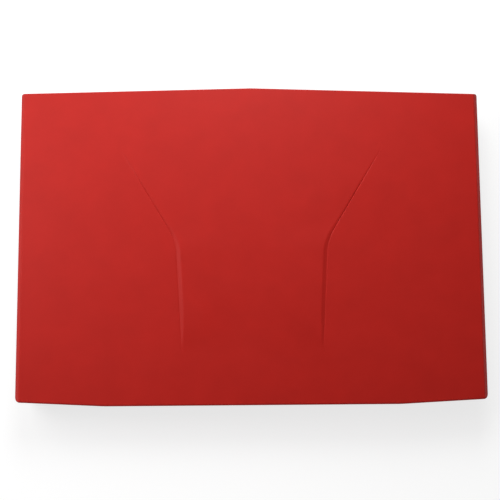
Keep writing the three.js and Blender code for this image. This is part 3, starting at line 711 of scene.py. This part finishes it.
FUNCTIONS = ["Esc", *(f"F{i}" for i in range(1, 13)), "Ins", "Del"]
DIGITS = [f"{above}\n{below}" for above, below in zip("~!@#$%^&*()_+", "`1234567890-=")]
UPPER_LETTERS = ["Tab", *"QWERTYUIOP", "{\n[", "}\n]", "|\n\\"]
HOME_LETTERS = ["Caps", *"ASDFGHJKL", ":\n;", '"\n\'', "Enter"]
LOWER_LETTERS = ["Shift", *"ZXCVBNM", "<\n,", ">\n.", "?\n/", "Shift"]
CAPS = {
    "function_keys": row_of(0, 5, FUNCTIONS, None, TOP_ROW_DEPTH),
    "number_keys": row_of(0, 4, DIGITS + ["Back"], [1] * 13 + [2]),
    "upper_letter_keys": row_of(0, 3, UPPER_LETTERS, [1.5] + [1] * 12 + [1.5]),
    "home_letter_keys": row_of(0, 2, HOME_LETTERS, [1.75] + [1] * 11 + [2.25]),
    "lower_letter_keys": row_of(0, 1, LOWER_LETTERS, [1.75] + [1] * 10 + [1.25]),
    "modifier_keys_left": row_of(0, 0, ["Ctrl", "Fn", "Sys", "Alt"], [1.25, 1, 1, 1.25]),
    "space_bar": row_of(4.5, 0, [""], [5.5]),
    "modifier_keys_right": row_of(10, 0, ["Alt", "Ctrl"]),
    "arrow_keys": row_of(12, 0, ["left", "down", "right"]) + row_of(13, 1, ["up", "End"]),
    "number_pad_keys": pad_row(5, ["Home", "PgUp", "PgDn", "Prt"], TOP_ROW_DEPTH)
    + pad_row(4, ["Num", "/", "*", "-"])
    + pad_row(3, ["7", "8", "9"])
    + pad_row(2, ["4", "5", "6"])
    + pad_row(1, ["1", "2", "3"])
    + [(PAD_LEFT + 3, 2, 1, 2, "+"), (PAD_LEFT + 3, 0, 1, 2, "Ent")]
    + [(PAD_LEFT, 0, 2, 1, "0"), (PAD_LEFT + 2, 0, 1, 1, ".")],
}
ARROWS = {"left": 180, "right": 0, "up": 90, "down": 270}  # degrees that each arrow points along


def cap_box(x, y, width, depth):
    """A cap's footprint at its skirt."""
    inset = CAP_GAP / 2 - CAP_SPREAD
    left = KEYS_LEFT + x * KEY_PITCH
    front = KEYS_FRONT + y * KEY_PITCH
    right = left + width * KEY_PITCH
    rear = front + depth * KEY_PITCH
    return left + inset, front + inset, right - inset, rear - inset


# Inset in mm and drop below the cap's top in mm, from the skirt over the rim and down into the dish
CAP_PROFILE = [(0, 3.0), (0, 2.7), (0.12, 2.0), (0.75, 0.6), (1.0, 0.22), (1.4, 0.02), (1.9, 0.0)]
CAP_DISH = [(2.6, 0.05), (3.6, 0.13), (5.0, 0.2)]


def dish_drop(inset):
    """Depth of the dish at a distance in from the skirt."""
    steps = [CAP_PROFILE[-1]] + CAP_DISH
    for (a, low), (b, high) in zip(steps, steps[1:]):
        if inset < b * MM:
            return mix(low, high, max((inset / MM - a) / (b - a), 0)) * MM
    return steps[-1][1] * MM


def keycap(bm, footprint):
    """One cap over its footprint (x0, y0, x1, y1)."""
    x0, y0, x1, y1 = footprint
    rings = []
    for inset, drop in CAP_PROFILE + CAP_DISH:
        d = inset * MM
        corner = max(CAP_CORNER - d * 0.15, CAP_CORNER_LEAST)
        ring = round_rect(x0 + d, y0 + d, x1 - d, y1 - d, corner)
        rings.append([(x, y, CAP_TOP - drop * MM) for x, y in ring])
    loft(bm, rings)


def homing_bar(bm, footprint):
    """The small raised bar on the two keys that the forefingers rest on."""
    x0, y0, x1, _ = footprint
    middle = (x0 + x1) / 2
    front = y0 + 3.6 * MM
    rear = front + 0.7 * MM
    half = 2 * MM
    top = CAP_TOP - 0.02 * MM
    slab(bm, middle - half, front, middle + half, rear, top - 0.3 * MM, top, 0.3 * MM, 0.08 * MM)


def legend_text(bm, footprint, label):
    """A legend as thin raised print at the cap's rear left, following its dish."""
    curve = bpy.data.curves.new("legend", "FONT")
    curve.body = label
    curve.size = LEGEND_SIZE[0] if len(label) == 1 else LEGEND_SIZE[1]
    curve.space_line = 1.05
    curve.resolution_u = 2
    curve.extrude = LEGEND_HALF
    lettering = bpy.data.objects.new("legend", curve)
    mesh = bpy.data.meshes.new_from_object(lettering)
    bpy.data.objects.remove(lettering)
    bpy.data.curves.remove(curve)
    x0, y0, x1, y1 = footprint
    wide = max(v.co.x for v in mesh.vertices)
    high = max(v.co.y for v in mesh.vertices)
    shrink_to = min(1.0, (x1 - x0 - LEGEND_MARGINS) / wide)
    for v in mesh.vertices:
        x = x0 + LEGEND_LEFT + v.co.x * shrink_to
        y = y1 - LEGEND_REAR + (v.co.y - high) * shrink_to
        inset = min(x - x0, x1 - x, y - y0, y1 - y)
        v.co = (x, y, CAP_TOP - dish_drop(inset) + LEGEND_RAISE + v.co.z)
    bm.from_mesh(mesh)
    bpy.data.meshes.remove(mesh)


def legend_arrow(bm, footprint, turn):
    """A small triangle that points along the angle turn."""
    x0, y0, x1, y1 = footprint
    middle = Vector(((x0 + x1) / 2, (y0 + y1) / 2))
    z = CAP_TOP - CAP_DISH[-1][1] * MM + LEGEND_RAISE
    angles = [math.radians(turn + 120 * i) for i in range(3)]
    corners = [middle + ARROW_RADIUS * Vector((math.cos(a), math.sin(a))) for a in angles]
    loft(bm, [[(*corner, level) for corner in corners] for level in (z - LEGEND_HALF, z + LEGEND_HALF)])


def keyboard():
    """Caps and printed legends, one piece of each for every body of keys."""
    for node, caps in CAPS.items():
        shells = bmesh.new()
        legends = bmesh.new()
        for x, y, width, depth, label in caps:
            footprint = cap_box(x, y, width, depth)
            keycap(shells, footprint)
            if label in ("F", "J"):
                homing_bar(shells, footprint)
            if label in ARROWS:
                legend_arrow(legends, footprint, ARROWS[label])
            elif label:
                legend_text(legends, footprint, label)
        place(finish_mesh(f"{node}_caps", shells, angle=50), node, KEY, "key_plastic", node)
        if legends.verts:
            place(finish_mesh(f"{node}_legends", legends), node, LEGEND, "key_plastic")


def key_lattice():
    """The dark web between the caps: a thin frame around each key, side by side in one sheet."""
    bm = bmesh.new()
    apart = 0.01 * MM  # keeps neighbouring frames from touching
    reach = CAP_GAP / 2 - CAP_SPREAD - apart
    for caps in CAPS.values():
        for x, y, width, depth, _ in caps:
            x0, y0, x1, y1 = cap_box(x, y, width, depth)
            outer = (x0 - reach, y0 - reach, x1 + reach, y1 + reach)
            frame_ring(bm, outer, reach - LATTICE_CLEARANCE, LATTICE_UNDER, LATTICE_TOP, 0.3 * MM)
    left = KEYS_LEFT + MAIN_BLOCK * KEY_PITCH + apart
    right = KEYS_LEFT + PAD_LEFT * KEY_PITCH - apart
    top = CAP_TOP - 0.6 * MM
    slab(bm, left, KEYS_FRONT, right, KEYS_REAR, LATTICE_UNDER, top, 0.4 * MM, 0.2 * MM)
    hem = LATTICE_HEM
    well = (KEYS_LEFT - hem, KEYS_FRONT - hem, hem - KEYS_LEFT, KEYS_REAR + hem)
    frame_ring(bm, well, hem - 0.05 * MM, LATTICE_UNDER, LATTICE_TOP, 1 * MM)
    place(finish_mesh("key_lattice", bm), "base", BEZEL, "bezel_plastic")


# ---- Controls and trim ----

# Inset from the rim and drop below the top in mm: the power button's rim, its groove and its dish
POWER_PROFILE = [(0, 0.5), (0.15, 0.15), (0.5, 0), (1.1, 0), (1.3, 0.3), (1.7, 0.3), (1.9, 0.05), (3.5, 0.2)]
POWER_PROFILE += [(6, 0.35)]

# The same for a touchpad button, from its foot over its rolled edge to its middle
PAD_BUTTON_PROFILE = [(0.3, 3.3), (0, 3.0), (0, 0.7), (0.12, 0.3), (0.45, 0.08), (1.2, 0), (3.5, 0.05)]
PAD_BUTTON_PROFILE += [(6, 0.12)]

# Radius and height above the bezel's face in mm, from the inside of a ring over its top to its outside
WEBCAM_RING = [(3.3, 1.2), (3.3, 0.1), (3.6, -0.12), (4.3, -0.12), (4.6, 0.05), (4.6, 1.2)]
GROMMET = [(0.55, 1.0), (0.55, 0.05), (0.75, -0.1), (1.15, -0.1), (1.35, 0.05), (1.35, 1.0)]


def power_button():
    """A dished metal cap with a groove around it."""
    r = POWER_RADIUS
    profile = [(r - 0.3 * MM, POWER_LOW.z), (r, POWER_LOW.z + 0.3 * MM)]
    profile += [(r - inset * MM, POWER_HIGH.z - drop * MM) for inset, drop in POWER_PROFILE]
    bm = bmesh.new()
    loft(bm, turned((0, POWER_Y, 0), profile))
    cap = finish_mesh("power_button_cap", bm, angle=25)
    place(cap, "power_button", BUTTON, "button_metal", "power_button")


def power_sign():
    """A plain power sign in the button's dish: a broken ring and a bar."""
    y = POWER_Y
    under = POWER_HIGH.z - 0.4 * MM
    top = POWER_HIGH.z - 0.24 * MM
    section = [(2.0 * MM, under), (2.5 * MM, under), (2.5 * MM, top), (2.0 * MM, top)]
    stations = []
    for i in range(21):
        angle = math.radians(125 + 290 * i / 20)
        stations.append([(r * math.cos(angle), y + r * math.sin(angle), level) for r, level in section])
    bm = bmesh.new()
    loft(bm, stations)
    slab(bm, -0.25 * MM, y + 1.1 * MM, 0.25 * MM, y + 3.1 * MM, under, top, 0.1 * MM, 0.03 * MM)
    place(finish_mesh("power_sign", bm), "power_button", LEGEND, "button_metal")


def touchpad_buttons():
    """Two crowned buttons whose front edges roll down."""
    for side in ("left", "right"):
        node = f"touchpad_button_{side}"
        low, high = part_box(node)
        rings = []
        for inset, drop in PAD_BUTTON_PROFILE:
            d = inset * MM
            corner = max(1.2 * MM - d, 0.4 * MM)
            ring = round_rect(low.x + d, low.y + d, high.x - d, high.y - d, corner)
            rings.append([(x, y, high.z - drop * MM) for x, y in ring])
        bm = bmesh.new()
        loft(bm, rings)
        place(finish_mesh(f"{node}_cap", bm, angle=50), node, KEY, "key_plastic", node)


def deck_trim():
    """Thin dark frames around the touchpad, the keyboard and the power button."""
    pad_low, pad_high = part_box("touchpad")
    pad_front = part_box("touchpad_button_left")[0].y
    top = DECK_TOP + TRIM_LIFT
    under = DECK_TOP - TRIM_ROOT
    bm = bmesh.new()
    out = PAD_CLEARANCE + TRIM_WIDTH
    pad = (pad_low.x - out, pad_front - out, pad_high.x + out, pad_high.y + out)
    frame_ring(bm, pad, TRIM_WIDTH, under, top, TRIM_CORNER)
    out = WELL_CLEARANCE + TRIM_WIDTH
    well = (KEYS_LEFT - out, KEYS_FRONT - out, out - KEYS_LEFT, KEYS_REAR + out)
    frame_ring(bm, well, TRIM_WIDTH, under, top, TRIM_CORNER)
    crown = top + 0.12 * MM
    steps = [(0.5, under), (0.5, top), (0.8, crown), (1.5, crown), (1.9, top - 0.1 * MM), (1.9, under)]
    tube(bm, turned((0, POWER_Y, 0), [(POWER_RADIUS + gap * MM, z) for gap, z in steps]))
    place(finish_mesh("deck_trim", bm), "base", BEZEL, "bezel_plastic")


def status_lights():
    """Three small lamps beside the power button."""
    front = POWER_Y - LAMP[1] / 2
    under = DECK_TOP - TRIM_ROOT
    top = DECK_TOP + 0.12 * MM
    bm = bmesh.new()
    for i in range(3):
        x = LAMP_START + i * LAMP_PITCH
        slab(bm, x, front, x + LAMP[0], front + LAMP[1], under, top, 0.55 * MM, 0.12 * MM)
    place(finish_mesh("status_lights", bm), "base", LENS, "screen_glass")


def camera_trim():
    """Around the webcam: a turned ring, two microphone grommets and a small light."""
    low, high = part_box("webcam_lens")
    y = (low.y + high.y) / 2
    bm = bmesh.new()
    for x, steps, sides in ((0, WEBCAM_RING, 40), (-MICROPHONE_X, GROMMET, 24), (MICROPHONE_X, GROMMET, 24)):
        profile = [(r * MM, LID_FACE + rise * MM) for r, rise in steps]
        tube(bm, turned((x, y, 0), profile, sides=sides))
    place(finish_mesh("camera_trim", bm), "lid", GRILLE, "bezel_plastic")

    left, right = CAMERA_LAMP
    half = 0.5 * MM
    face = LID_FACE - 0.1 * MM
    root = LID_FACE + 0.8 * MM
    bm = bmesh.new()
    slab(bm, left, y - half, right, y + half, face, root, 0.45 * MM, 0.1 * MM)
    place(finish_mesh("camera_light", bm), "lid", LENS, "screen_glass")


def screen_lip():
    """A soft lip between the screen's glass and the bezel."""
    low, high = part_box("display_glass")
    d = SCREEN_LIP_INSET
    window = (low.x + d, low.y + d, high.x - d, high.y - d)
    bm = bmesh.new()
    frame_ring(bm, window, SCREEN_LIP, LID_FACE + 0.5 * MM, low.z - 0.05 * MM, 2 * MM)
    place(finish_mesh("screen_lip", bm), "lid", RUBBER, "rubber")


# ---- Sockets ----


def wall_point(side, y, z, depth):
    """A point of a socket: a place on the side wall and how deep it lies behind the mouth."""
    return side * (MOUTH_X - depth), y, z


def socket(node, mouth, radius, taper=0.0, finish=None):
    """A socket's block, whose mouth has the given size in mm; returns its side and the mouth's middle."""
    low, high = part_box(node)
    side = 1 if low.x > 0 else -1
    middle_y = (low.y + high.y) / 2
    middle_z = (low.z + high.z) / 2
    half_y = (high.y - low.y) / 2
    half_z = (high.z - low.z) / 2

    def ring(half_w, half_h, r, depth, pinch=0.0):
        corner = min(r, half_w * 0.999, half_h * 0.999)
        points = []
        for u, v in round_rect(-half_w, -half_h, half_w, half_h, corner, steps=6):
            narrow = 1 - pinch * (half_h - v) / (2 * half_h)
            points.append(wall_point(side, middle_y + u * narrow, middle_z + v, depth))
        return points

    a = mouth[0] / 2 * MM
    b = mouth[1] / 2 * MM
    rings = [
        ring(half_y, half_z, 0.6 * MM, SOCKET_DEPTH),
        ring(half_y, half_z, 0.6 * MM, 0.25 * MM),
        ring(half_y - 0.25 * MM, half_z - 0.25 * MM, 0.5 * MM, 0),
        ring(a + MOUTH_FLARE, b + MOUTH_FLARE, radius + MOUTH_FLARE, 0, taper),
        ring(a, b, radius, 0.45 * MM, taper),
        ring(a, b, radius, SOCKET_FLOOR, taper),
    ]
    bm = bmesh.new()
    loft(bm, rings)
    place(finish_mesh(f"{node}_shell", bm), "base", finish or SOCKET, "socket_steel", node)
    return side, middle_y, middle_z


def socket_ring(bm, side, y, z, radius):
    """A rounded metal ring around a round mouth, standing a little proud of its block."""
    profile = [(0.1, 1.2), (0.1, 0.1), (0.35, -0.15), (0.75, -0.15), (1.0, 0.1), (1.0, 1.2)]
    spans = [((radius + gap) * MM, side * (MOUTH_X - depth * MM)) for gap, depth in profile]
    tube(bm, turned((0, y, z), spans, axis="x"))


def prong(bm, side, y, z, half_y, half_z, start, end, edge):
    """A bar inside a socket, from one depth to another."""
    corner = min(half_y, half_z) * 0.4
    rings = []
    for depth, inset in ((end, 0), (start + edge, 0), (start, edge)):
        points = round_rect(-half_y + inset, -half_z + inset, half_y - inset, half_z - inset, corner)
        rings.append([wall_point(side, y + u, z + v, depth) for u, v in points])
    loft(bm, rings)


def usb_sockets(tongues, contacts):
    """Each has a tongue above and four flat contacts under it."""
    for node in ("usb_port_left", "usb_port_right"):
        side, y, z = socket(node, (12.2, 4.8), 0.4 * MM)
        prong(tongues, side, y, z + 0.9 * MM, 5.4 * MM, 0.9 * MM, 1.2 * MM, SOCKET_FLOOR, 0.3 * MM)
        for i in range(4):
            at = y + (i - 1.5) * 2.4 * MM
            prong(contacts, side, at, z - 0.05 * MM, 0.5 * MM, 0.12 * MM, 2 * MM, CONTACT_END, 0.05 * MM)


def video_socket(tongues):
    side, y, z = socket("hdmi_port", (14.2, 4.8), 0.5 * MM, taper=0.2)
    prong(tongues, side, y, z + 0.1 * MM, 5.8 * MM, 0.55 * MM, 1.2 * MM, SOCKET_FLOOR, 0.2 * MM)


def network_socket(tongues, contacts):
    """Eight wires along the top of the mouth and a ledge at its foot."""
    side, y, z = socket("ethernet_port", (12, 8.2), 0.4 * MM)
    for i in range(8):
        at = y + (i - 3.5) * 1.05 * MM
        prong(contacts, side, at, z + 2.6 * MM, 0.22 * MM, 0.22 * MM, 1.8 * MM, CONTACT_END, 0.05 * MM)
    prong(tongues, side, y, z - 3.3 * MM, 4.6 * MM, 0.8 * MM, 0.9 * MM, SOCKET_FLOOR, 0.2 * MM)


def round_sockets(contacts, rings):
    """The power socket, with its pin, and the audio socket."""
    side, y, z = socket("power_jack", (6.4, 6.4), 3.2 * MM, finish=INNER)
    socket_ring(rings, side, y, z, 3.5)
    prong(contacts, side, y, z, 1.1 * MM, 1.1 * MM, 1.0 * MM, SOCKET_FLOOR, 0.3 * MM)
    side, y, z = socket("audio_jack", (3.6, 3.6), 1.8 * MM, finish=INNER)
    socket_ring(rings, side, y, z, 2.1)


def sockets():
    """The six sockets with their tongues, contacts and rings."""
    tongues = bmesh.new()
    contacts = bmesh.new()
    rings = bmesh.new()
    usb_sockets(tongues, contacts)
    video_socket(tongues)
    network_socket(tongues, contacts)
    round_sockets(contacts, rings)
    place(finish_mesh("socket_rings", rings), "base", SOCKET, "socket_steel")
    place(finish_mesh("socket_tongues", tongues), "base", INNER, "inner_plastic")
    place(finish_mesh("socket_contacts", contacts), "base", COPPER, "copper")


# ---- Hinges ----


def hinge_brackets():
    """The base's half of each hinge: a thin foot on the shelf, a neck, and the knuckle inside its sleeve."""
    for name in ("left", "right"):
        node = f"hinge_bracket_{name}"
        low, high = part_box(node)
        pin_low, pin_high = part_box(f"hinge_pin_{name}")
        axis_z = high.z - KNUCKLE_RADIUS
        foot_top = low.z + FOOT_THICKNESS
        bm = bmesh.new()
        slab(bm, low.x, low.y, high.x, high.y, low.z, foot_top, 1.2 * MM, 0.2 * MM)
        neck_front = low.y + 2 * MM
        neck_rear = low.y + 7 * MM
        slab(bm, low.x, neck_front, high.x, neck_rear, low.z + 0.2 * MM, axis_z, 0.8 * MM, 0.25 * MM)
        for x in (low.x + 4.5 * MM, high.x - 4.5 * MM):
            steps = [(1.5, -0.4), (1.5, 0.1), (1.2, 0.3), (0.5, 0.35)]
            dome = [(r * MM, foot_top + rise * MM) for r, rise in steps]
            loft(bm, turned((x, low.y + 10 * MM, 0), dome, sides=20))
        start = low.x + 0.2 * MM
        end = high.x - 0.2 * MM
        knuckle = [(PIN_HOLE, start), (KNUCKLE_RADIUS, start), (KNUCKLE_RADIUS, end), (PIN_HOLE, end)]
        tube(bm, turned((0, (pin_low.y + pin_high.y) / 2, axis_z), knuckle, axis="x"))
        place(finish_mesh(f"{node}_steel", bm, angle=30), "base", STEEL, "hinge_steel", node)


def sleeve_profile(start, end, side):
    """Radius and place along the hinge's axis for a closed cover with a groove around its middle."""
    middle = (start + end) / 2
    steps = [(1.0, start), (3.3, start), (3.7, start + 0.4 * MM)]
    steps += [(3.7, middle - 0.5 * MM), (3.55, middle - 0.3 * MM), (3.55, middle + 0.3 * MM)]
    steps += [(3.7, middle + 0.5 * MM), (3.7, end - 0.4 * MM), (3.3, end), (1.0, end)]
    return [(r * MM, side * x) for r, x in steps]


def hinge_sleeves():
    """Turned covers over the two halves of each hinge barrel."""
    for name, side in (("left", -1), ("right", 1)):
        low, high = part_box(f"hinge_bracket_{name}")
        pin_low, pin_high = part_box(f"hinge_pin_{name}")
        centre = (0, (pin_low.y + pin_high.y) / 2, (pin_low.z + pin_high.z) / 2)
        inner, outer = sorted((abs(low.x), abs(high.x)))
        pin_end = max(abs(pin_low.x), abs(pin_high.x))
        spans = {"base": (inner, outer), "lid": (outer + 0.5 * MM, pin_end + 0.6 * MM)}
        for body, (start, end) in spans.items():
            bm = bmesh.new()
            loft(bm, turned(centre, sleeve_profile(start, end, side), axis="x", sides=48))
            place(finish_mesh(f"hinge_sleeve_{body}_{name}", bm, angle=30), body, BEZEL, "bezel_plastic")


# ---- Underside ----


def screw(bm, x, y, z, radius):
    """A pan-head screw seen from below, with a cross recess."""
    arm = radius * 0.16
    reach = radius * 0.62
    deep = radius * 0.5
    cross = [(arm, arm), (arm, reach), (-arm, reach), (-arm, arm), (-reach, arm), (-reach, -arm)]
    cross += [(-arm, -arm), (-arm, -reach), (arm, -reach), (arm, -arm), (reach, -arm), (reach, arm)]
    angles = [math.atan2(v, u) for u, v in cross]

    def circle(r, level):
        return [(x + r * math.cos(t), y + r * math.sin(t), level) for t in angles]

    def plus(level):
        return [(x + u, y + v, level) for u, v in cross]

    face = z - 0.45 * MM
    head = [circle(radius, z + 0.5 * MM), circle(radius, z - 0.15 * MM), circle(radius * 0.86, z - 0.4 * MM)]
    loft(bm, head + [plus(face), plus(face + deep)])


def underside():
    """Screws that hold the access cover and the bottom case."""
    low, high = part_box("access_cover")
    inset = COVER_SCREW_INSET
    bm = bmesh.new()
    for x in (low.x + inset, 0, high.x - inset):
        for y in (low.y + inset, high.y - inset):
            screw(bm, x, y, CASE_FLOOR, COVER_SCREW)
    for x in CASE_SCREWS_X:
        for y in CASE_SCREWS_Y:
            screw(bm, x, y, CASE_FLOOR, CASE_SCREW)
    place(finish_mesh("case_screws", bm, angle=25), "base", STEEL, "hinge_steel")


# ---- Stage ----


def stage_lights():
    """Soft round lights that face the middle of the lid."""
    target = Vector((0, 0, LID_FACE))
    for name, (spot, size, power) in LIGHTS.items():
        light = bpy.data.lights.new(name, "AREA")
        light.shape = "DISK"
        light.size = size
        light.energy = power
        lamp = bpy.data.objects.new(name, light)
        lamp.location = spot
        lamp.rotation_euler = (target - Vector(spot)).to_track_quat("-Z", "Y").to_euler()
        bpy.context.scene.collection.objects.link(lamp)


def stage_floor():
    """A pale floor that glows a little."""
    material = bpy.data.materials.new("floor_pale")
    material.use_nodes = True
    shader = material.node_tree.nodes["Principled BSDF"]
    shader.inputs["Base Color"].default_value = FLOOR_COLOUR
    shader.inputs["Roughness"].default_value = 0.9
    shader.inputs["Emission Color"].default_value = (1, 1, 1, 1)
    shader.inputs["Emission Strength"].default_value = FLOOR_GLOW
    mesh = bpy.data.meshes.new("floor")
    r = FLOOR_HALF
    mesh.from_pydata([(-r, -r, 0), (r, -r, 0), (r, r, 0), (-r, r, 0)], [], [(0, 1, 2, 3)])
    mesh.materials.append(material)
    floor = bpy.data.objects.new("floor", mesh)
    bpy.context.scene.collection.objects.link(floor)


def studio_walls():
    """Pale all round and dark overhead, so the sides are lit softly and the lid keeps its deep red."""
    world = bpy.data.worlds.new("studio")
    bpy.context.scene.world = world
    world.use_nodes = True
    nodes = world.node_tree.nodes
    links = world.node_tree.links
    direction = nodes.new("ShaderNodeTexCoord")
    split = nodes.new("ShaderNodeSeparateXYZ")
    fade = nodes.new("ShaderNodeMapRange")
    fade.interpolation_type = "SMOOTHSTEP"
    fade.inputs["From Min"].default_value = GLOW_FADE[0]
    fade.inputs["From Max"].default_value = GLOW_FADE[1]
    fade.inputs["To Min"].default_value = HORIZON_GLOW
    fade.inputs["To Max"].default_value = CEILING_GLOW
    shade = nodes.new("ShaderNodeMapRange")
    shade.inputs["From Min"].default_value = -1
    shade.inputs["To Min"].default_value = LEFT_SHARE
    product = nodes.new("ShaderNodeMath")
    product.operation = "MULTIPLY"
    links.new(direction.outputs["Generated"], split.inputs["Vector"])
    links.new(split.outputs["Z"], fade.inputs["Value"])
    links.new(split.outputs["X"], shade.inputs["Value"])
    links.new(fade.outputs["Result"], product.inputs[0])
    links.new(shade.outputs["Result"], product.inputs[1])
    nodes["Background"].inputs["Color"].default_value = (1, 1, 1, 1)
    links.new(product.outputs["Value"], nodes["Background"].inputs["Strength"])


def stage_camera():
    """The camera looks down from above the hinge side, with the front edge at the top of the picture."""
    tilt = math.radians(CAMERA_TILT)
    turn = math.radians(CAMERA_TURN)
    back = Vector((math.sin(tilt) * math.sin(turn), math.sin(tilt) * math.cos(turn), math.cos(tilt)))
    right = Vector((0, -1, 0)).cross(back).normalized()
    up = back.cross(right)
    roll = Matrix.Rotation(math.radians(CAMERA_ROLL), 3, back)
    axes = Matrix((roll @ right, roll @ up, back)).transposed()
    middle = Vector((*AIM_OFFSET, LID_FIELD))
    data = bpy.data.cameras.new("camera")
    data.sensor_width = SENSOR_WIDTH
    data.lens = CAMERA_LENS
    camera = bpy.data.objects.new("camera", data)
    camera.matrix_world = Matrix.Translation(middle + back * CAMERA_DISTANCE) @ axes.to_4x4()
    bpy.context.scene.collection.objects.link(camera)
    bpy.context.scene.camera = camera


def view_settings():
    settings = bpy.context.scene.view_settings
    settings.view_transform = "Standard"
    settings.look = "None"


dress_frame()
place(lid_shell(), "lid", LACQUER, "lid_lacquer", "lid_cover")
keyboard()
key_lattice()
power_button()
power_sign()
touchpad_buttons()
deck_trim()
status_lights()
camera_trim()
screen_lip()
sockets()
hinge_brackets()
hinge_sleeves()
underside()
stage_floor()
studio_walls()
stage_lights()
stage_camera()
view_settings()
